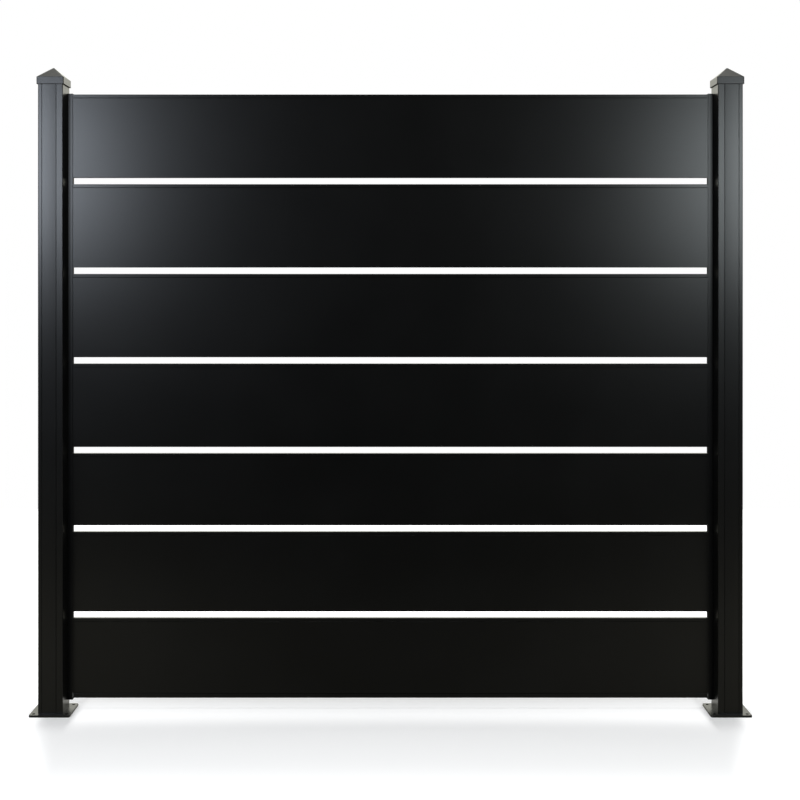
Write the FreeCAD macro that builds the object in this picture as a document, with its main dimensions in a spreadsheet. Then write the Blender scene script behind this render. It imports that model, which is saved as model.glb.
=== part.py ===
"""Slatted aluminium fence panel: two posts on base plates, side channels and seven slats.

Millimetres. X runs along the fence, -Y is the front, Z is up.
The origin is on the ground, midway between the posts.
"""
import FreeCAD, Part
import Sketcher
import os
import re

doc = FreeCAD.newDocument("slatted_fence")
sheet = doc.addObject("Spreadsheet::Sheet", "Sizes")
# Driving dimensions in millimetres, one row of the sheet each
sizes = {
    # Posts
    "post_spacing": "1910",  # centre to centre of the posts
    "post_width": "70",  # outside of the square tube
    "post_wall": "2.5",  # wall of the tube
    "post_corner": "2",  # outside corner radius
    "outer_line_inset": "11",  # outer edge of the face to the middle of a fine line
    "inner_line_inset": "18.7",  # inner edge of the face to the middle of a fine line
    "post_line_width": "1.6",  # mouth of the fine lines
    "post_line_depth": "1",  # depth of the fine lines
    "port_size": "9",  # side of the screw port block on each wall
    # Base plates
    "plate_width": "115",  # along the fence
    "plate_depth": "98",  # front to back
    "plate_thickness": "6",  # flat plate
    "plate_corner": "5",  # corner radius
    "plate_edge": "0.8",  # chamfer round the upper edge
    "anchor_bore": "9",  # clear hole for an M8 anchor
    "anchor_margin": "11.5",  # hole centre to plate edges
    # Base screws
    "base_screw_width": "5",  # shank
    "base_screw_length": "30",  # underside of plate to tip, less the sink
    "base_screw_head": "11",  # countersunk head
    "base_screw_sink": "0.4",  # head below the plate's underside
    "base_screw_drive": "3.4",  # square drive
    "base_screw_drive_depth": "2.2",  # depth of the drive
    "thread_ease": "0.1",  # shank to screw port, each side
    # Caps
    "cap_wall": "2.9",  # wall of the skirt
    "cap_ease": "0.4",  # skirt to post, each side
    "head_gap": "20.4",  # top slat to the skirt's lower edge
    "cap_cover": "18.2",  # skirt over the post
    "cap_roof": "3",  # post end to the skirt's upper edge
    "cap_rise": "29.5",  # height of the pyramid
    "cap_step": "1.6",  # pyramid set in from the skirt
    "cap_tip": "3",  # flat on the pyramid's tip
    "cap_corner": "2",  # radius of the skirt's corners
    "cap_edge": "1.3",  # rounding of the skirt's upper and lower edges
    "plug_depth": "15",  # hollow plug inside the post
    "plug_wall": "2.4",  # wall of that plug
    "plug_ease": "0.3",  # plug to screw ports, each side
    # Channels
    "channel_wall": "1.5",  # web and flanges
    "channel_lip": "13.5",  # post face to free edge of the flange
    "channel_margin": "0.1",  # rear flange to the rounding of the post's corner
    "channel_drop": "3",  # channel below the bottom rail
    "channel_rise": "0.4",  # channel above the top slat
    "channel_edge": "0.5",  # rounding of the flanges' free edges
    # Screws in the channels and supports
    "screw_width": "4.2",  # shank
    "screw_reach": "12",  # shank under the head, screws in the channel
    "support_screw_reach": "18",  # shank under the head, screw in the support
    "screw_head": "8",  # wafer head
    "screw_head_height": "1.7",  # wafer head
    "screw_ease": "0.15",  # clearance round the shank, each side
    "screw_drive": "2.4",  # square drive
    "screw_drive_depth": "1.1",  # depth of the drive
    # Slats
    "slat_thickness": "11",  # hollow section
    "slat_wall": "1.4",  # walls and ribs
    "upper_slat_height": "238",  # the four upper slats
    "short_slat_height": "205.5",  # the fifth slat
    "lower_slat_height": "228",  # the sixth slat
    "last_slat_height": "213",  # the lowest slat
    "slat_play": "0.35",  # slat to flange, each side
    "slat_end_ease": "0.8",  # slat end to screw heads
    "slat_edge": "0.8",  # rounding of the long edges
    "slat_line_drop": "10",  # top edge to middle of the fine line
    "slat_line_width": "1.4",  # mouth of the fine line
    "slat_line_depth": "1",  # depth of the fine line
    "slat_line_rib": "4",  # thick rib behind the fine line
    "key_width": "5",  # groove along the bottom edge
    "key_depth": "8",  # groove along the bottom edge
    # Bottom rail
    "ground_gap": "31",  # floor to bottom rail
    "rail_height": "15",  # without its tongue
    "rail_tongue_ease": "1",  # tip of the tongue to the groove's floor
    "rail_rebate": "2.5",  # depth of the dark line under the slat
    "rail_line_height": "4",  # height of the dark line under the slat
    "rail_end_gap": "0.8",  # rail end to channel flange
    "key_ease": "0.05",  # tongue in groove, each side
    # Spacers, supports and plugs
    "spacer_height": "18.2",  # clear gap between slats
    "spacer_ease": "0.3",  # spacer to channel web
    "spacer_set_back": "1",  # spacer behind the flange's free edge
    "spacer_wall": "1.8",  # walls of the moulding
    "support_flange": "1.5",  # flange under and over the channel
    "plug_leg_ease": "0.2",  # top plug's leg to channel web and slat end
    "plug_leg_length": "28",  # leg of the top plug
}
for row, (name, number) in enumerate(sizes.items(), start=1):
    sheet.set("A%d" % row, name)
    sheet.set("B%d" % row, number)
    sheet.setAlias("B%d" % row, name)
doc.recompute()


def formula(text):
    """Point the words of a formula at the sheet."""
    return re.sub(r"[a-z_]+", r"Sizes.\g<0>", text)


def value(text):
    """Work a formula out now, as the start position of a sketch point."""
    return float(sheet.evalExpression(text))


def minus(text):
    return "-(%s)" % text


def facing(side, text):
    """Formula counted from the post towards the middle of the fence."""
    return text if side == "left" else minus(text)


def new_body(label, across, depth, height):
    """Body whose Placement follows three formulas."""
    body = doc.addObject("PartDesign::Body", label)
    body.Label = label
    body.AllowCompound = True
    for axis, text in zip("xyz", (across, depth, height)):
        body.setExpression("Placement.Base." + axis, formula(text))
    return body


def new_sketch(body, name, plane, offset="0"):
    """Sketch on one of the body's own planes, moved along its normal by a formula."""
    sketch = body.newObject("Sketcher::SketchObject", name)
    feature = next(f for f in body.Origin.OriginFeatures if f.Role == plane)
    sketch.AttachmentSupport = [(feature, "")]
    sketch.MapMode = "FlatFace"
    if offset != "0":
        sketch.setExpression("AttachmentOffset.Base.z", formula(offset))
    return sketch


def pin(sketch, geometry, point, across, up):
    """Hold one point of a sketch at two formulas."""
    for kind, axis, text in (("DistanceX", -2, across), ("DistanceY", -1, up)):
        if text == "0":
            sketch.addConstraint(Sketcher.Constraint("PointOnObject", geometry, point, axis))
            continue
        index = sketch.addConstraint(
            Sketcher.Constraint(kind, -1, 1, geometry, point, value(text)))
        sketch.setExpression("Constraints[%d]" % index, formula(text))


def outline(sketch, corners):
    """Closed outline of straight lines through corners given as pairs of formulas."""
    points = [FreeCAD.Vector(value(across), value(up), 0) for across, up in corners]
    first = sketch.GeometryCount
    for start, end in zip(points, points[1:] + points[:1]):
        sketch.addGeometry(Part.LineSegment(start, end))
    for i in range(len(points)):
        following = first + (i + 1) % len(points)
        sketch.addConstraint(Sketcher.Constraint("Coincident", first + i, 2, following, 1))
    for i, (across, up) in enumerate(corners):
        pin(sketch, first + i, 1, across, up)


def rectangle(sketch, left, bottom, right, top):
    outline(sketch, [(left, bottom), (right, bottom), (right, top), (left, top)])


def square(sketch, across, up, half):
    """Square round a centre, with half its side."""
    rectangle(sketch, "%s - (%s)" % (across, half), "%s - (%s)" % (up, half),
              "%s + %s" % (across, half), "%s + %s" % (up, half))


def circle(sketch, across, up, radius):
    centre = FreeCAD.Vector(value(across), value(up), 0)
    index = sketch.addGeometry(Part.Circle(centre, FreeCAD.Vector(0, 0, 1), value(radius)))
    pin(sketch, index, 3, across, up)
    held = sketch.addConstraint(Sketcher.Constraint("Radius", index, value(radius)))
    sketch.setExpression("Constraints[%d]" % held, formula(radius))


def pad(body, sketch, length, both_ways=False, backwards=False):
    feature = body.newObject("PartDesign::Pad", sketch.Name + "_pad")
    feature.Profile = sketch
    feature.setExpression("Length", formula(length))
    feature.SideType = "Symmetric" if both_ways else "One side"
    feature.Reversed = backwards
    doc.recompute()
    return feature


def cut(body, sketch, length=None, backwards=False):
    """Pocket of a given depth, or through all, which has to take material away."""
    before = body.Shape.Volume
    feature = body.newObject("PartDesign::Pocket", sketch.Name + "_cut")
    feature.Profile = sketch
    feature.Reversed = backwards
    if length is None:
        feature.Type = "ThroughAll"
    else:
        feature.setExpression("Length", formula(length))
    doc.recompute()
    if body.Shape.Volume >= before:
        raise RuntimeError("the cut %s removes nothing" % feature.Name)
    return feature


def soften(body, kind, amount, chosen):
    """Fillet or chamfer on every edge of the tip that the test picks out."""
    tip = body.Tip
    names = ["Edge%d" % (i + 1) for i, edge in enumerate(tip.Shape.Edges) if chosen(edge)]
    if not names:
        raise RuntimeError("no edge to soften on %s" % body.Label)
    feature = body.newObject("PartDesign::" + kind, body.Name + "_" + kind)
    feature.Base = (tip, names)
    feature.setExpression("Radius" if kind == "Fillet" else "Size", formula(amount))
    doc.recompute()
    return feature


def near(a, b):
    """True for two lengths that differ by less than a trace of the whole fence."""
    trace_share = 1e-6
    return abs(a - b) < trace_share * value("post_spacing")


def runs_along(edge, axis):
    """True for a straight edge that runs along the axis x, y or z."""
    box = edge.BoundBox
    spans = {"x": box.XLength, "y": box.YLength, "z": box.ZLength}
    return near(max(spans.values()), spans[axis]) and near(edge.Length, spans[axis])


# Places that several pieces share
post_half = "post_width / 2"
post_inside = "post_width / 2 - post_wall"
port_place = "post_width / 2 - post_wall - port_size / 2"
port_inner = "post_width / 2 - post_wall - port_size"
slot_width = "slat_thickness + 2 * slat_play"
channel_depth = slot_width + " + 2 * channel_wall"
channel_middle = "post_width / 2 - post_corner - channel_margin - (%s) / 2" % channel_depth
channel_bottom = "ground_gap - channel_drop"
post_face = {"left": "post_width / 2 - post_spacing / 2",
             "right": "post_spacing / 2 - post_width / 2"}
post_middle = {"left": "-post_spacing / 2", "right": "post_spacing / 2"}
slat_end_gap = "screw_head_height + slat_end_ease"
slat_length = "post_spacing - post_width - 2 * channel_wall - 2 * (%s)" % slat_end_gap
ports = [(port_place, "0"), ("0", port_place), (minus(port_place), "0"), ("0", minus(port_place))]

# The stack, from the bottom slat up: name, height and level of the bottom edge
stack = []
level = "ground_gap + rail_height"
for name, height in (("slat_7", "last_slat_height"), ("slat_6", "lower_slat_height"),
                     ("slat_5", "short_slat_height"), ("slat_4", "upper_slat_height"),
                     ("slat_3", "upper_slat_height"), ("slat_2", "upper_slat_height"),
                     ("slat_1", "upper_slat_height")):
    stack.append((name, height, level))
    level = "%s + %s + spacer_height" % (level, height)
stack_top = "%s + %s" % (stack[-1][2], stack[-1][1])
channel_length = "%s + channel_rise - (%s)" % (stack_top, channel_bottom)
post_top = "%s + head_gap + cap_cover" % stack_top

# Levels of the screws behind the slat ends, and of the screw in each support block
screw_levels = ["%s + %s / 2" % (bottom, height) for name, height, bottom in stack[::2]]
support_height = "channel_drop + rail_height"
support_level = "%s + (%s) / 2" % (channel_bottom, support_height)
support_seat = "channel_lip - spacer_set_back - screw_head_height - screw_ease"
shank_hole = "screw_width / 2 + screw_ease"


def build_post(side):
    """Extruded square tube with fine lines on two faces and a screw port inside each wall."""
    body = new_body(side + "_post", post_middle[side], "0", "plate_thickness")
    profile = new_sketch(body, side + "_post_profile", "XY_Plane")
    lines = [facing(side, "post_width / 2 - inner_line_inset"),
             facing(side, "outer_line_inset - post_width / 2")]
    if side == "right":
        lines.reverse()
    rear = [(post_half, post_half)]
    for middle in lines:
        rear.append(("%s + post_line_width / 2" % middle, post_half))
        rear.append((middle, "post_width / 2 - post_line_depth"))
        rear.append(("%s - post_line_width / 2" % middle, post_half))
    rear.append((minus(post_half), post_half))
    outline(profile, rear + [(x, minus(y)) for x, y in reversed(rear)])
    port_half = "port_size / 2"
    quarter = [(port_inner, port_half), (post_inside, port_half), (post_inside, post_inside),
               (port_half, post_inside), (port_half, port_inner)]
    hollow = quarter + [(minus(x), y) for x, y in reversed(quarter)]
    outline(profile, hollow + [(minus(x), minus(y)) for x, y in hollow])
    for x, y in ports:
        circle(profile, x, y, "base_screw_width / 2 + thread_ease")
    pad(body, profile, "%s - plate_thickness" % post_top)
    corner = value(post_half)
    soften(body, "Fillet", "post_corner", lambda edge: runs_along(edge, "z")
           and near(abs(edge.CenterOfMass.x), corner) and near(abs(edge.CenterOfMass.y), corner))
    holes = new_sketch(body, side + "_post_holes", "YZ_Plane")
    for level in screw_levels + [support_level]:
        circle(holes, channel_middle, "%s - plate_thickness" % level, shank_hole)
    cut(body, holes, backwards=side == "left")
    return body


def build_base_plate(side):
    """Flat plate with anchor holes in the corners and countersunk holes under the post."""
    body = new_body(side + "_base_plate", post_middle[side], "0", "0")
    profile = new_sketch(body, side + "_plate_profile", "XY_Plane")
    rectangle(profile, "-plate_width / 2", "-plate_depth / 2", "plate_width / 2", "plate_depth / 2")
    pad(body, profile, "plate_thickness")
    soften(body, "Fillet", "plate_corner", lambda edge: runs_along(edge, "z"))
    top = value("plate_thickness")
    soften(body, "Chamfer", "plate_edge", lambda edge: near(edge.BoundBox.ZMin, top))
    anchors = new_sketch(body, side + "_plate_anchors", "XY_Plane")
    across = "plate_width / 2 - anchor_margin"
    depth = "plate_depth / 2 - anchor_margin"
    for x in (across, minus(across)):
        for y in (depth, minus(depth)):
            circle(anchors, x, y, "anchor_bore / 2")
    cut(body, anchors, backwards=True)
    screws = new_sketch(body, side + "_plate_screws", "XY_Plane")
    for x, y in ports:
        circle(screws, x, y, "base_screw_width / 2 + screw_ease")
    before = body.Shape.Volume
    hole = body.newObject("PartDesign::Hole", side + "_plate_sinks")
    hole.Profile = screws
    hole.Reversed = True
    doc.recompute()
    hole.DepthType = "ThroughAll"
    hole.setExpression("Diameter", formula("base_screw_width + 2 * screw_ease"))
    hole.HoleCutType = "Countersink"
    hole.HoleCutCustomValues = True
    hole.HoleCutCountersinkAngle = 90
    hole.setExpression("HoleCutDiameter", formula(
        "base_screw_head + 2 * base_screw_sink + 2 * screw_ease"))
    doc.recompute()
    if body.Shape.Volume >= before:
        raise RuntimeError("the countersinks remove nothing")
    return body


def build_base_screws(side):
    """Four countersunk screws, up through the plate into the ports of the post."""
    body = new_body(side + "_base_screws", post_middle[side], "0", "base_screw_sink")
    shanks = new_sketch(body, side + "_screw_shanks", "XY_Plane")
    for x, y in ports:
        circle(shanks, x, y, "base_screw_width / 2")
    pad(body, shanks, "base_screw_length")
    heads = new_sketch(body, side + "_screw_heads", "XY_Plane")
    for x, y in ports:
        circle(heads, x, y, "base_screw_head / 2")
    cone = pad(body, heads, "base_screw_head / 2 - base_screw_width / 2")
    cone.TaperAngle = -45
    doc.recompute()
    drives = new_sketch(body, side + "_screw_drives", "XY_Plane")
    for x, y in ports:
        square(drives, x, y, "base_screw_drive / 2")
    cut(body, drives, "base_screw_drive_depth", backwards=True)
    return body


def build_cap(side):
    """Cast cap: skirt over the post, low pyramid, hollow plug between the screw ports."""
    body = new_body(side + "_cap", post_middle[side], "0", post_top)
    outside = "post_width / 2 + cap_ease + cap_wall"
    skirt = new_sketch(body, side + "_cap_skirt", "XY_Plane", "-cap_cover")
    square(skirt, "0", "0", outside)
    pad(body, skirt, "cap_cover + cap_roof")
    soften(body, "Fillet", "cap_corner", lambda edge: runs_along(edge, "z"))
    soften(body, "Fillet", "cap_edge", lambda edge: near(edge.BoundBox.ZLength, 0))
    foot = new_sketch(body, side + "_cap_foot", "XY_Plane", "cap_roof")
    square(foot, "0", "0", outside + " - cap_step")
    tip = new_sketch(body, side + "_cap_tip", "XY_Plane", "cap_roof + cap_rise")
    square(tip, "0", "0", "cap_tip / 2")
    pyramid = body.newObject("PartDesign::AdditiveLoft", side + "_cap_pyramid")
    pyramid.Profile = foot
    pyramid.Sections = [tip]
    pyramid.Ruled = True
    doc.recompute()
    socket = new_sketch(body, side + "_cap_socket", "XY_Plane", "-cap_cover")
    square(socket, "0", "0", "post_width / 2 + cap_ease")
    cut(body, socket, "cap_cover", backwards=True)
    plug = new_sketch(body, side + "_cap_plug", "XY_Plane")
    square(plug, "0", "0", port_inner + " - plug_ease")
    pad(body, plug, "plug_depth", backwards=True)
    mouth = new_sketch(body, side + "_cap_mouth", "XY_Plane", "-plug_depth")
    square(mouth, "0", "0", port_inner + " - plug_ease - plug_wall")
    cut(body, mouth, "plug_depth", backwards=True)
    return body


def build_channel(side):
    """U-section screwed to the post, open towards the slat ends."""
    body = new_body(side + "_channel", post_face[side], channel_middle, channel_bottom)
    profile = new_sketch(body, side + "_channel_profile", "XY_Plane")
    out = "(%s) / 2" % channel_depth
    slot = "(%s) / 2" % slot_width
    web = facing(side, "channel_wall")
    lip = facing(side, "channel_lip")
    outline(profile, [("0", minus(out)), (lip, minus(out)), (lip, minus(slot)), (web, minus(slot)),
                      (web, slot), (lip, slot), (lip, out), ("0", out)])
    pad(body, profile, channel_length)
    edge_x = abs(value("channel_lip"))
    soften(body, "Fillet", "channel_edge",
           lambda edge: runs_along(edge, "z") and near(abs(edge.CenterOfMass.x), edge_x))
    holes = new_sketch(body, side + "_channel_holes", "YZ_Plane")
    for level in screw_levels + [support_level]:
        circle(holes, "0", "%s - (%s)" % (level, channel_bottom), shank_hole)
    cut(body, holes, backwards=side == "left")
    return body


def build_screws(label, side, seat, reach, levels):
    """Wafer-head screws that all lie along X, with their heads on one plane."""
    body = new_body(label, post_face[side], channel_middle, "0")
    plane = facing(side, seat)
    outwards = side == "left"
    heads = new_sketch(body, label + "_heads", "YZ_Plane", plane)
    for level in levels:
        circle(heads, "0", level, "screw_head / 2")
    pad(body, heads, "screw_head_height", backwards=not outwards)
    shanks = new_sketch(body, label + "_shanks", "YZ_Plane", plane)
    for level in levels:
        circle(shanks, "0", level, "screw_width / 2")
    pad(body, shanks, reach, backwards=outwards)
    drives = new_sketch(body, label + "_drives", "YZ_Plane",
                        facing(side, seat + " + screw_head_height"))
    for level in levels:
        square(drives, "0", level, "screw_drive / 2")
    cut(body, drives, "screw_drive_depth", backwards=not outwards)
    return body


def build_slat(name, height, bottom):
    """Hollow extrusion with ribs, a fine line on both faces and a groove along its foot."""
    body = new_body(name, "0", channel_middle, bottom)
    profile = new_sketch(body, name + "_profile", "YZ_Plane")
    half = "slat_thickness / 2"
    floor = "slat_thickness / 2 - slat_line_depth"
    line = "%s - slat_line_drop" % height
    right = [("key_width / 2", "key_depth"), ("key_width / 2", "0"), (half, "0"),
             (half, line + " - slat_line_width / 2"), (floor, line),
             (half, line + " + slat_line_width / 2"), (half, height)]
    outline(profile, right + [(minus(x), y) for x, y in reversed(right)])
    inside = "slat_thickness / 2 - slat_wall"
    foot = "key_depth + slat_wall"
    rib_low = "%s - slat_line_drop - slat_line_rib / 2" % height
    rib_high = "%s - slat_line_drop + slat_line_rib / 2" % height
    chambers = 3
    chamber = "(%s - (%s) - %d * slat_wall) / %d" % (rib_low, foot, chambers - 1, chambers)
    for i in range(chambers):
        start = "%s + %d * (%s + slat_wall)" % (foot, i, chamber)
        rectangle(profile, minus(inside), start, inside, "%s + %s" % (start, chamber))
    rectangle(profile, minus(inside), rib_high, inside, "%s - slat_wall" % height)
    pad(body, profile, slat_length, both_ways=True)
    outer = value(half)
    top = value(height)
    soften(body, "Fillet", "slat_edge", lambda edge: runs_along(edge, "x")
           and near(abs(edge.CenterOfMass.y), outer)
           and (near(edge.CenterOfMass.z, 0) or near(edge.CenterOfMass.z, top)))
    return body


def build_bottom_rail():
    """Hollow rail under the lowest slat, with a tongue in that slat's groove."""
    body = new_body("bottom_rail", "0", channel_middle, "ground_gap")
    profile = new_sketch(body, "rail_profile", "YZ_Plane")
    half = "slat_thickness / 2"
    shoulder = "slat_thickness / 2 - rail_rebate"
    tongue = "key_width / 2 - key_ease"
    right = [(half, "0"), (half, "rail_height - rail_line_height"),
             (shoulder, "rail_height - rail_line_height"), (shoulder, "rail_height"),
             (tongue, "rail_height"), (tongue, "rail_height + key_depth - rail_tongue_ease")]
    outline(profile, right + [(minus(x), y) for x, y in reversed(right)])
    inside = "slat_thickness / 2 - slat_wall"
    rectangle(profile, minus(inside), "slat_wall", inside, "rail_height - rail_line_height - slat_wall")
    pad(body, profile, "post_spacing - post_width - 2 * channel_lip - 2 * rail_end_gap",
        both_ways=True)
    outer = value(half)
    soften(body, "Fillet", "slat_edge", lambda edge: runs_along(edge, "x")
           and near(abs(edge.CenterOfMass.y), outer) and near(edge.CenterOfMass.z, 0))
    return body


def build_spacer(label, side, bottom):
    """Moulded block in the channel, hollow towards the web."""
    body = new_body(label, post_face[side], channel_middle, bottom)
    profile = new_sketch(body, label + "_profile", "XY_Plane")
    half = "slat_thickness / 2"
    start = "channel_wall + spacer_ease"
    end = "channel_lip - spacer_set_back"
    inner = "channel_lip - spacer_set_back - spacer_wall"
    wall = "slat_thickness / 2 - spacer_wall"
    outline(profile, [(facing(side, x), y) for x, y in (
        (start, minus(half)), (end, minus(half)), (end, half), (start, half),
        (start, wall), (inner, wall), (inner, minus(wall)), (start, minus(wall)))])
    pad(body, profile, "spacer_height")
    return body


def build_support(side):
    """Block at the foot of the channel that carries the slats, with a flange under the channel."""
    body = new_body(side + "_support", post_face[side], channel_middle, channel_bottom)
    flange = new_sketch(body, side + "_support_flange", "XY_Plane")
    out = "(%s) / 2" % channel_depth
    rectangle(flange, "0", minus(out), facing(side, "channel_lip"), out)
    pad(body, flange, "support_flange", backwards=True)
    block = new_sketch(body, side + "_support_block", "XY_Plane")
    half = "slat_thickness / 2"
    rectangle(block, facing(side, "channel_wall + spacer_ease"), minus(half),
              facing(side, "channel_lip - spacer_set_back"), half)
    pad(body, block, support_height)
    bore = new_sketch(body, side + "_support_bore", "YZ_Plane")
    circle(bore, "0", "(%s) / 2" % support_height, shank_hole)
    cut(body, bore, backwards=side == "left")
    seat = new_sketch(body, side + "_support_seat", "YZ_Plane", facing(side, support_seat))
    circle(seat, "0", "(%s) / 2" % support_height, "screw_head / 2 + screw_ease")
    cut(body, seat, backwards=side == "left")
    return body


def build_top_plug(side):
    """Flange over the channel's end with a leg between slat end and web."""
    level = "%s + channel_rise" % stack_top
    body = new_body(side + "_top_plug", post_face[side], channel_middle, level)
    flange = new_sketch(body, side + "_plug_flange", "XY_Plane")
    out = "(%s) / 2" % channel_depth
    rectangle(flange, "0", minus(out), facing(side, "channel_lip"), out)
    pad(body, flange, "support_flange")
    leg = new_sketch(body, side + "_plug_leg", "XY_Plane")
    half = "slat_thickness / 2 - slat_wall"
    rectangle(leg, facing(side, "channel_wall + plug_leg_ease"), minus(half),
              facing(side, "channel_wall + %s - plug_leg_ease" % slat_end_gap), half)
    pad(body, leg, "plug_leg_length", backwards=True)
    return body


pieces = []
for side in ("left", "right"):
    pieces.append(build_base_plate(side))
    pieces.append(build_base_screws(side))
    pieces.append(build_post(side))
    pieces.append(build_cap(side))
    pieces.append(build_channel(side))
    pieces.append(build_screws(side + "_channel_screws", side, "channel_wall", "screw_reach",
                               screw_levels))
    pieces.append(build_support(side))
    pieces.append(build_screws(side + "_support_screw", side, support_seat,
                               "support_screw_reach", [support_level]))
    for number, (name, height, bottom) in enumerate(stack[:-1], start=1):
        gap = "%s + %s" % (bottom, height)
        pieces.append(build_spacer("%s_spacer_%d" % (side, number), side, gap))
    pieces.append(build_top_plug(side))
pieces.append(build_bottom_rail())
for name, height, bottom in stack:
    pieces.append(build_slat(name, height, bottom))

doc.recompute()
for item in doc.Objects:
    if "Invalid" in item.State or "Error" in item.State:
        raise RuntimeError("%s did not recompute" % item.Label)

os.makedirs("parts", exist_ok=True)
for piece in pieces:
    if piece.Shape.isNull() or not piece.Shape.isValid():
        raise RuntimeError("%s has no valid shape" % piece.Label)
    piece.Shape.exportStep("parts/%s.step" % piece.Label)
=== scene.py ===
import math

import bpy
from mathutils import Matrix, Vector


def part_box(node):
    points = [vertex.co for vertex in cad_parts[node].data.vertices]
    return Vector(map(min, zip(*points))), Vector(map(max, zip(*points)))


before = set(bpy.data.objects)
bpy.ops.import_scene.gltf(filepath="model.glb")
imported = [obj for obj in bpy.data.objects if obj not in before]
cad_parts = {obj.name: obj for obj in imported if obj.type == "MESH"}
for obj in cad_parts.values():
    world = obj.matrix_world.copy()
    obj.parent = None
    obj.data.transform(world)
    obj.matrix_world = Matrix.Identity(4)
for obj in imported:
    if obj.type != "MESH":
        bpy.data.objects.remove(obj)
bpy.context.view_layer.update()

# Posts. Two square aluminium tubes, extruded with fine lines down the front and the back.
# They are powder coated in satin black and held on their plates by screws from below.
millimetre = 0.001
sides = ("left", "right")


def linear(hex_colour):
    """sRGB hex to linear light: the straight toe, then ((c + 0.055) / 1.055) to the power 2.4."""
    channels = [int(hex_colour[i:i + 2], 16) / 255 for i in (1, 3, 5)]
    light = [c / 12.92 if c <= 0.04045 else ((c + 0.055) / 1.055) ** 2.4 for c in channels]
    return (*light, 1)


def add(tree, kind, values=None, links=None, **settings):
    """Adds a node of a kind, with its settings, the values of its sockets and the links into them."""
    node = tree.nodes.new("ShaderNode" + kind)
    for name, setting in settings.items():
        setattr(node, name, setting)
    for socket, value in (values or {}).items():
        node.inputs[socket].default_value = value
    for socket, source in (links or {}).items():
        tree.links.new(source, node.inputs[socket])
    return node


def distance(tree, value, place=0.0):
    """Distance of a value from a place on the same axis: |value - place|."""
    offset = add(tree, "Math", {1: place}, {0: value}, operation="SUBTRACT")
    return add(tree, "Math", {}, {0: offset.outputs["Value"]}, operation="ABSOLUTE").outputs["Value"]


def blank_material(name):
    """New material with an empty node tree."""
    material = bpy.data.materials.new(name)
    material.use_nodes = True
    material.node_tree.nodes.clear()
    return material


def powder_coat(name, deep, worn, run, rough, peel):
    """Polyester powder, sprayed dry and baked to a satin skin over extruded or cut aluminium.

    The eye gets a deep black with a broad soft sheen. Slow swells of the skin waver the sheen,
    the melted grains give it a fine tooth, and die lines of the metal run faintly along the piece.
    run is the stretch of the die lines along X, Y and Z, rough the middle roughness, and peel
    the height of the swells in millimetres.
    """
    swell_width = 9 * millimetre  # orange peel is 2 to 4 mm wide, drawn coarser so that it shows
    grain_width = 3 * millimetre  # melted grains are under 0.1 mm, drawn as coarse as one pixel
    line_width = 5 * millimetre  # die lines are under 1 mm apart, drawn coarser so that they show
    cloud_width = 260 * millimetre  # drift of the spray gun's passes
    line_share = 0.25  # height of the die lines, as a share of the swells' height
    drift_depth = 0.006  # slow change of the roughness, either way
    tooth_depth = 0.003  # fine change of the roughness, either way
    cloud_span = {"From Min": 0.3, "From Max": 0.7}  # most of the noise lies in its span
    grain_span = {"From Min": 0.25, "From Max": 0.75}
    material = blank_material(name)
    tree = material.node_tree
    place = add(tree, "TexCoord").outputs["Object"]
    cloud = add(tree, "TexNoise", {"Scale": 1 / cloud_width, "Detail": 3.0}, {"Vector": place})
    grain = add(tree, "TexNoise", {"Scale": 1 / grain_width, "Detail": 1.0}, {"Vector": place})
    swell = add(tree, "TexNoise", {"Scale": 1 / swell_width, "Detail": 1.0}, {"Vector": place})
    along = add(tree, "Mapping", {"Scale": run}, {"Vector": place})
    line = add(tree, "TexNoise", {"Scale": 1 / line_width, "Detail": 2.0},
               {"Vector": along.outputs["Vector"]})
    tint = add(tree, "MapRange", cloud_span, {"Value": cloud.outputs["Fac"]})
    # A Mix of colours takes them at its inputs 6 and 7, and its result is output 2.
    colour = add(tree, "Mix", {6: linear(deep), 7: linear(worn)},
                 {0: tint.outputs["Result"]}, data_type="RGBA")
    drift = add(tree, "MapRange",
                {**cloud_span, "To Min": rough - drift_depth, "To Max": rough + drift_depth},
                {"Value": cloud.outputs["Fac"]})
    tooth = add(tree, "MapRange", {**grain_span, "To Min": -tooth_depth, "To Max": tooth_depth},
                {"Value": grain.outputs["Fac"]})
    roughness = add(tree, "Math", {}, {0: drift.outputs["Result"], 1: tooth.outputs["Result"]},
                    operation="ADD")
    lines = add(tree, "Bump", {"Strength": 1.0, "Distance": line_share * peel * millimetre},
                {"Height": line.outputs["Fac"]}, name="die_lines")
    skin = add(tree, "Bump", {"Strength": 1.0, "Distance": peel * millimetre},
               {"Height": swell.outputs["Fac"], "Normal": lines.outputs["Normal"]})
    shader = add(tree, "BsdfPrincipled", {"IOR": 1.5},
                 {"Base Color": colour.outputs[2], "Roughness": roughness.outputs["Value"],
                  "Normal": skin.outputs["Normal"]}, name="coat")
    add(tree, "OutputMaterial", {}, {"Surface": shader.outputs["BSDF"]})
    return material


def finish_nodes(material, names):
    """Gives a material to every slot of the named nodes."""
    for name in names:
        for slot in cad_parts[name].material_slots:
            slot.material = material


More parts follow.
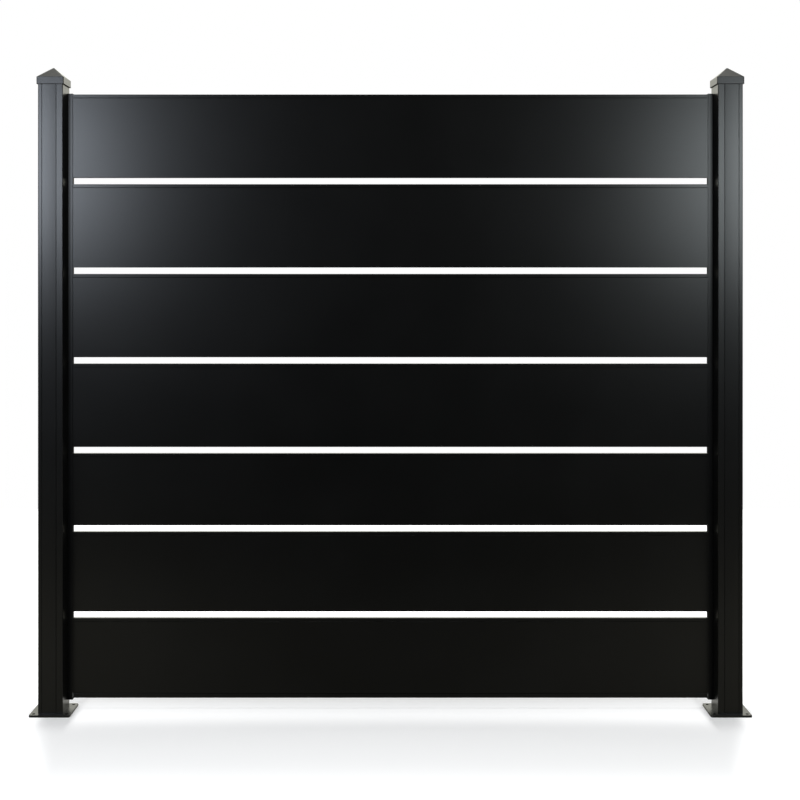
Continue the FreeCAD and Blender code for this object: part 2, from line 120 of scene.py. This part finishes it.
along_z = (1, 1, 0.01)
post_coat = powder_coat("satin_powder_on_extruded_post", "#080808", "#0c0c0c", along_z, 0.285, 0.004)
finish_nodes(post_coat, [side + "_post" for side in sides])
post_low, post_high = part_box("right_post")
post_face = post_low.x  # inner face of each post, from the middle of the fence
post_edge = post_high.x  # outer face
post_middle = (post_face + post_edge) / 2
panel_inner = 16.3 * millimetre  # middle of the post to its inner fine line
panel_crown = 0.32 * millimetre  # the die lets the wall outside the inner line bulge a little
tree = post_coat.node_tree
spot = add(tree, "SeparateXYZ", {}, {"Vector": add(tree, "TexCoord").outputs["Object"]})
share = add(tree, "MapRange", {"From Min": post_middle - panel_inner, "From Max": post_edge},
            {"Value": distance(tree, spot.outputs["X"])})
rest = add(tree, "Math", {0: 1.0}, {1: share.outputs["Result"]}, operation="SUBTRACT")
arch = add(tree, "Math", {}, {0: share.outputs["Result"], 1: rest.outputs["Value"]}, operation="MULTIPLY")
arch_top = 0.25  # share * (1 - share) at its highest
crown = add(tree, "Bump", {"Strength": 1.0, "Distance": panel_crown / arch_top},
            {"Height": arch.outputs["Value"]})
tree.links.new(crown.outputs["Normal"], tree.nodes["die_lines"].inputs["Normal"])

# Base plates. Flat aluminium plates, cut square with rounded corners and four anchor holes.
# They have the same satin black powder, and carry the posts by four screws from below.
along_x = (0.01, 1, 1)
plate_coat = powder_coat("satin_powder_on_cut_plate", "#0f0f10", "#151516", along_x, 0.32, 0.02)
finish_nodes(plate_coat, [side + "_base_plate" for side in sides])

# Caps. Die-cast aluminium, a skirt over the post's end under a low pyramid, pushed on by hand.
# Their powder lies a little thicker, with a coarser skin than on the extrusions.
even = (1, 1, 1)
cap_coat = powder_coat("satin_powder_on_casting", "#0f0f10", "#161617", even, 0.29, 0.012)
finish_nodes(cap_coat, [side + "_cap" for side in sides])

# Channels. Extruded aluminium U-sections, screwed to the inner faces of the posts.
# They are open towards the middle of the fence and take the ends of all the slats.
channel_coat = powder_coat("satin_powder_on_channel", "#070707", "#0b0b0b", along_z, 0.285, 0.008)
finish_nodes(channel_coat, [side + "_channel" for side in sides])
painted_lip_shade = 11 * millimetre  # painted shade: the sheen fades over this width towards the corner at the post, in place of the post's shadow
lip_sheen = 0.45  # at the lip's free edge, a little under the usual 0.5
tree = channel_coat.node_tree
spot = add(tree, "SeparateXYZ", {}, {"Vector": add(tree, "TexCoord").outputs["Object"]})
# Painted shade on the lips: the specular level falls to nothing at the post's inner face, where the post
# would shade the lip.
sheen = add(tree, "MapRange",
            {"From Min": post_face, "From Max": post_face - painted_lip_shade, "To Max": lip_sheen},
            {"Value": distance(tree, spot.outputs["X"])})
tree.links.new(sheen.outputs["Result"], tree.nodes["coat"].inputs["Specular IOR Level"])

# Slats and bottom rail. Wide hollow aluminium extrusions with a fine line under the top edge.
# They slide down the channels one by one, and the rail's tongue sits in the lowest slat's groove.
slats = [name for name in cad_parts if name.startswith("slat_")]
slat_coat = powder_coat("satin_powder_on_extruded_slat", "#070707", "#0b0b0b", along_x, 0.285, 0.006)
finish_nodes(slat_coat, slats + ["bottom_rail"])


# Spacers, supports and top plugs. Injection-moulded black nylon with a fine spark-eroded grain.
# Spacers drop into the channel between two slats, and the support under them is screwed on.
def moulded_nylon(name):
    """Glass-filled nylon from a spark-eroded mould: a dull black, with a fine pitted grain.

    The eye gets a matt skin, a little paler where the glass fibres lie near the surface.
    The pits swallow more than half of the gloss that a smooth nylon would have.
    """
    pit_width = 1.2 * millimetre  # spark erosion leaves pits of about 0.1 mm, drawn coarser to show
    pit_depth = 0.1 * millimetre
    fibre_width = 6 * millimetre
    material = blank_material(name)
    tree = material.node_tree
    place = add(tree, "TexCoord").outputs["Object"]
    pits = add(tree, "TexNoise", {"Scale": 1 / pit_width, "Detail": 2.0}, {"Vector": place})
    fibre = add(tree, "TexNoise", {"Scale": 1 / fibre_width, "Detail": 4.0}, {"Vector": place})
    colour = add(tree, "Mix", {6: linear("#080808"), 7: linear("#0f0f0f")},
                 {0: fibre.outputs["Fac"]}, data_type="RGBA")
    roughness = add(tree, "MapRange", {"To Min": 0.45, "To Max": 0.65}, {"Value": pits.outputs["Fac"]})
    bump = add(tree, "Bump", {"Strength": 0.5, "Distance": pit_depth}, {"Height": pits.outputs["Fac"]})
    shader = add(tree, "BsdfPrincipled", {"IOR": 1.53, "Specular IOR Level": 0.2},
                 {"Base Color": colour.outputs[2], "Roughness": roughness.outputs["Result"],
                  "Normal": bump.outputs["Normal"]})
    add(tree, "OutputMaterial", {}, {"Surface": shader.outputs["BSDF"]})
    return material


spacer_nylon = moulded_nylon("moulded_black_nylon")
finish_nodes(spacer_nylon, [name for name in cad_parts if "_spacer_" in name])
for side in sides:
    finish_nodes(spacer_nylon, [side + "_support", side + "_top_plug"])


# Screws. Steel, cold headed and zinc plated: countersunk ones up through the base plates,
# and wafer heads that hold the channels and the supports to the posts.
def zinc_steel(name):
    """Bright zinc plating on cold-headed steel: silvery, faintly blue, with dull drying marks."""
    mark_width = 2 * millimetre
    material = blank_material(name)
    tree = material.node_tree
    place = add(tree, "TexCoord").outputs["Object"]
    marks = add(tree, "TexNoise", {"Scale": 1 / mark_width, "Detail": 3.0}, {"Vector": place})
    colour = add(tree, "Mix", {6: linear("#9fa4a8"), 7: linear("#c3c7c9")},
                 {0: marks.outputs["Fac"]}, data_type="RGBA")
    roughness = add(tree, "MapRange", {"To Min": 0.25, "To Max": 0.45}, {"Value": marks.outputs["Fac"]})
    shader = add(tree, "BsdfPrincipled", {"Metallic": 1.0},
                 {"Base Color": colour.outputs[2], "Roughness": roughness.outputs["Result"]})
    add(tree, "OutputMaterial", {}, {"Surface": shader.outputs["BSDF"]})
    return material


screw_steel = zinc_steel("zinc_plated_steel")
for side in sides:
    finish_nodes(screw_steel, [side + "_base_screws", side + "_channel_screws", side + "_support_screw"])

# Camera. Level, in front of the middle of the fence, with the frame moved down by its shift.
# The photograph is 800 pixels wide, and these pixel values are its own.
photo_width = 800
fence_middle_pixel = 390.4
horizon_pixel = 285
pixels_per_metre_at_one_metre = 1175.3
eye_height = 1.2096
eye_distance = 3.335
sensor_width = 36
camera = bpy.data.cameras.new("camera")
camera.sensor_width = sensor_width
camera.lens = pixels_per_metre_at_one_metre / photo_width * sensor_width
camera.shift_x = (photo_width / 2 - fence_middle_pixel) / photo_width
camera.shift_y = (horizon_pixel - photo_width / 2) / photo_width
viewer = bpy.data.objects.new("camera", camera)
viewer.location = (0, -eye_distance, eye_height)
viewer.rotation_euler = (math.radians(90), 0, 0)
bpy.context.scene.collection.objects.link(viewer)
bpy.context.scene.camera = viewer
bpy.context.scene.view_settings.view_transform = "Standard"

# Floor. A plain white studio floor at ground level. The lamps light it, and it keeps the shadow.
# For the camera some white is added to it, where 1 is plain white, and it paints the shading:
# little in a painted shadow, less in a painted shade before the feet of the posts, more as
# painted light under the rail, and all of it further out.
floor_half = 3.0
floor_level = -0.2 * millimetre  # just clear of the plates' undersides, which lie at zero
floor_corners = [(-floor_half, -floor_half, floor_level), (floor_half, -floor_half, floor_level),
                 (floor_half, floor_half, floor_level), (-floor_half, floor_half, floor_level)]
floor_mesh = bpy.data.meshes.new("floor")
floor_mesh.from_pydata(floor_corners, [], [(0, 1, 2, 3)])
floor = bpy.data.objects.new("floor", floor_mesh)
bpy.context.scene.collection.objects.link(floor)
floor_paint = blank_material("white_studio_floor")
floor_mesh.materials.append(floor_paint)
tree = floor_paint.node_tree
spot = add(tree, "SeparateXYZ", {}, {"Vector": add(tree, "TexCoord").outputs["Object"]})
across = distance(tree, spot.outputs["X"])
depth = distance(tree, spot.outputs["Y"])
square = add(tree, "Math", {1: 2.0}, {0: across}, operation="POWER")

# Painted shadow: less white is added here, so that the lamps' own shadow shows, and its outline
# is painted full up to a depth and a width, which draws in with the depth.
shadow_white = 0.22
shadow_depth = 350 * millimetre
shadow_depth_end = 900 * millimetre
shadow_side = post_middle + 10 * millimetre
shadow_side_end = shadow_side + 145 * millimetre
shadow_taper = 0.33
slant = add(tree, "Math", {1: shadow_taper}, {0: depth, 2: across}, operation="MULTIPLY_ADD")
beside = add(tree, "MapRange", {"From Min": shadow_side, "From Max": shadow_side_end},
             {"Value": slant.outputs["Value"]})
before = add(tree, "MapRange", {"From Min": shadow_depth, "From Max": shadow_depth_end}, {"Value": depth})
away = add(tree, "Math", {}, {0: beside.outputs["Result"], 1: before.outputs["Result"]},
           operation="MAXIMUM")
painted_shadow = add(tree, "MapRange", {"To Min": shadow_white, "To Max": 1.0}, {"Value": away.outputs["Value"]},
             interpolation_type="SMOOTHSTEP")

# Painted light under the rail: more white is added in a strip between the plates, which grows
# stronger towards its ends, on top of the real light that the low lamp behind sends there.
painted_rail_light = 0.175
rail_light_place = -35 * millimetre
rail_light_reach = 100 * millimetre
end_full = 50 * millimetre
end_reach = 200 * millimetre
end_rise = 0.19
middle_drop = -0.025
strip_full = post_face - 46 * millimetre
strip_end = post_face - 28 * millimetre
rail = add(tree, "MapRange", {"From Max": rail_light_reach, "To Min": painted_rail_light, "To Max": 0.0},
           {"Value": distance(tree, spot.outputs["Y"], rail_light_place)}, interpolation_type="SMOOTHSTEP")
close = add(tree, "MapRange", {"From Min": end_full, "From Max": end_reach, "To Min": 1.0, "To Max": 0.0},
            {"Value": depth}, interpolation_type="SMOOTHSTEP")
rise = add(tree, "Math", {1: end_rise, 2: middle_drop}, {0: square.outputs["Value"]},
           operation="MULTIPLY_ADD")
painted_light_under_rail = add(tree, "Math", {}, {0: close.outputs["Result"], 1: rise.outputs["Value"],
                                 2: rail.outputs["Result"]}, operation="MULTIPLY_ADD")
between = add(tree, "MapRange", {"From Min": strip_end, "From Max": strip_full}, {"Value": across})
open_floor = add(tree, "Math", {}, {0: painted_light_under_rail.outputs["Value"], 1: between.outputs["Result"],
                                    2: painted_shadow.outputs["Result"]}, operation="MULTIPLY_ADD")

# Painted shade before the feet of the posts: less white is added on the floor just before them.
painted_foot_shade = -0.125
foot_place = post_middle - 25 * millimetre
foot_half = 35 * millimetre
foot_half_end = 50 * millimetre
foot_front = -60 * millimetre
foot_front_full = 20 * millimetre
foot_front_reach = 120 * millimetre
painted_foot_shade_band = add(tree, "MapRange", {"From Min": foot_half_end, "From Max": foot_half, "To Max": painted_foot_shade},
           {"Value": distance(tree, across, foot_place)})
ahead = add(tree, "MapRange",
            {"From Min": foot_front_full, "From Max": foot_front_reach, "To Min": 1.0, "To Max": 0.0},
            {"Value": distance(tree, spot.outputs["Y"], foot_front)}, interpolation_type="SMOOTHSTEP")
white = add(tree, "Math", {}, {0: painted_foot_shade_band.outputs["Result"], 1: ahead.outputs["Result"],
                               2: open_floor.outputs["Value"]}, operation="MULTIPLY_ADD")

# Painted reflection: to mirrored rays the floor is no lit surface but glows, so the black coat
# mirrors a faint warm floor, lighter at the sides and darker far in front, and a bright strip close behind
# the fence.
painted_reflection_strip = 1.5
glow_place = 200 * millimetre
glow_reach = 250 * millimetre
far_front = -2.2
near_front = -0.8
far_share = 0.15
middle_white = 0.1
side_rise = 0.13
glow = add(tree, "MapRange", {"From Max": glow_reach, "To Min": painted_reflection_strip, "To Max": 0.0},
           {"Value": distance(tree, spot.outputs["Y"], glow_place)})
front = add(tree, "MapRange", {"From Min": far_front, "From Max": near_front, "To Min": far_share},
            {"Value": spot.outputs["Y"]})
outer = add(tree, "Math", {1: side_rise, 2: middle_white}, {0: square.outputs["Value"]},
            operation="MULTIPLY_ADD")
faint = add(tree, "Math", {}, {0: front.outputs["Result"], 1: outer.outputs["Value"]},
            operation="MULTIPLY")
mirrored = add(tree, "Math", {}, {0: glow.outputs["Result"], 1: faint.outputs["Value"]},
               operation="MAXIMUM")
warm = add(tree, "Mix", {6: linear("#fffbe4"), 7: linear("#fffffa")},
           {0: glow.outputs["Result"]}, data_type="RGBA")

ray = add(tree, "LightPath")
shown = add(tree, "Math", {}, {0: white.outputs["Value"], 1: ray.outputs["Is Camera Ray"]},
            operation="MULTIPLY")
matt = add(tree, "BsdfDiffuse", {"Color": linear("#f0f0f0")})
added = add(tree, "Emission", {"Color": linear("#ffffff")}, {"Strength": shown.outputs["Value"]})
lit = add(tree, "AddShader", {}, {0: matt.outputs["BSDF"], 1: added.outputs["Emission"]})
dim = add(tree, "Emission", {}, {"Color": warm.outputs[2], "Strength": mirrored.outputs["Value"]})
seen = add(tree, "MixShader", {}, {0: ray.outputs["Is Glossy Ray"], 1: lit.outputs["Shader"],
                                   2: dim.outputs["Emission"]})
add(tree, "OutputMaterial", {}, {"Surface": seen.outputs["Shader"]})

# Studio. White behind the fence and dark in front of it, as the black coat mirrors it.
# Two soft boxes stand high at both sides of the camera, and a large one hangs above the fence.
# A weak one stands low behind it and only lights the strip of floor under the rail.
backdrop_white = 1.0  # what the camera sees
ambient = 0.35  # what lights matt surfaces from all sides
dark = 0.02  # what the coat mirrors in front and below
white_behind = 1.8  # what it mirrors behind and above
behind_full = 0.78  # Y of a direction, white from here on
above_start = 0.06  # Z of a direction, dark up to here
above_full = 0.15
world = bpy.data.worlds.new("studio")
bpy.context.scene.world = world
world.cycles.sampling_method = "NONE"  # the backdrop isn't sampled as a lamp, bounced rays find it
world.use_nodes = True
tree = world.node_tree
tree.nodes.clear()
ray = add(tree, "LightPath")
heading = add(tree, "SeparateXYZ", {}, {"Vector": add(tree, "TexCoord").outputs["Generated"]})
back = add(tree, "MapRange", {"From Max": behind_full, "To Max": white_behind},
           {"Value": heading.outputs["Y"]}, interpolation_type="SMOOTHSTEP")
high = add(tree, "MapRange", {"From Min": above_start, "From Max": above_full},
           {"Value": heading.outputs["Z"]}, interpolation_type="SMOOTHSTEP")
mirrored = add(tree, "Math", {2: dark}, {0: back.outputs["Result"], 1: high.outputs["Result"]},
               operation="MULTIPLY_ADD")
# A Mix of numbers takes them at its inputs 2 and 3, and its result is output 0.
unseen = add(tree, "Mix", {2: ambient}, {0: ray.outputs["Is Glossy Ray"], 3: mirrored.outputs["Value"]})
strength = add(tree, "Mix", {3: backdrop_white}, {0: ray.outputs["Is Camera Ray"], 2: unseen.outputs[0]})
colour = add(tree, "Mix", {6: linear("#ffffff"), 7: linear("#fffff2")},
             {0: ray.outputs["Is Glossy Ray"]}, data_type="RGBA")
backdrop = add(tree, "Background", {}, {"Color": colour.outputs[2], "Strength": strength.outputs[0]})
add(tree, "OutputWorld", {}, {"Surface": backdrop.outputs["Background"]})


def soft_box(name, place, facing, width, height, brightness, colour):
    """Rectangular lamp at a place, facing a direction: power = brightness * pi * area."""
    lamp = bpy.data.lights.new(name, "AREA")
    lamp.shape = "RECTANGLE"
    lamp.size = width
    lamp.size_y = height
    lamp.energy = brightness * math.pi * width * height
    lamp.color = linear(colour)[:3]
    box = bpy.data.objects.new(name, lamp)
    box.location = place
    box.rotation_euler = Vector(facing).to_track_quat("-Z", "Y").to_euler()
    box.visible_camera = False
    bpy.context.scene.collection.objects.link(box)
    return box


to_back = (0, 1, 0)
to_front = (0, -1, 0)
down = (0, 0, -1)
front_left = soft_box("soft_box_left", place=(-2.12, -eye_distance, 1.92), facing=to_back,
                      width=0.66, height=0.88, brightness=18.0, colour="#eaf3ff")
front_right = soft_box("soft_box_right", place=(2.08, -eye_distance, 1.86), facing=to_back,
                       width=0.58, height=0.9, brightness=13.6, colour="#f0f9fc")
soft_box("soft_box_above", place=(0, 0.02, 4.0), facing=down,
         width=2.6, height=1.85, brightness=6.9, colour="#ffffff")
low_behind = soft_box("soft_box_low_behind", place=(0, 1.2, 0.35), facing=to_front,
                      width=2.4, height=0.5, brightness=1.4, colour="#ffffff")
low_behind.visible_glossy = False

# In the photograph the lips of the channels are lit although the posts stand in front of them.
# So the two front lamps shine past the posts.
passed = bpy.data.collections.new("posts_the_lamps_pass")
for side in sides:
    passed.objects.link(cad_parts[side + "_post"])
for entry in passed.collection_objects:
    entry.light_linking.link_state = "EXCLUDE"
for box in (front_left, front_right):
    box.light_linking.blocker_collection = passed
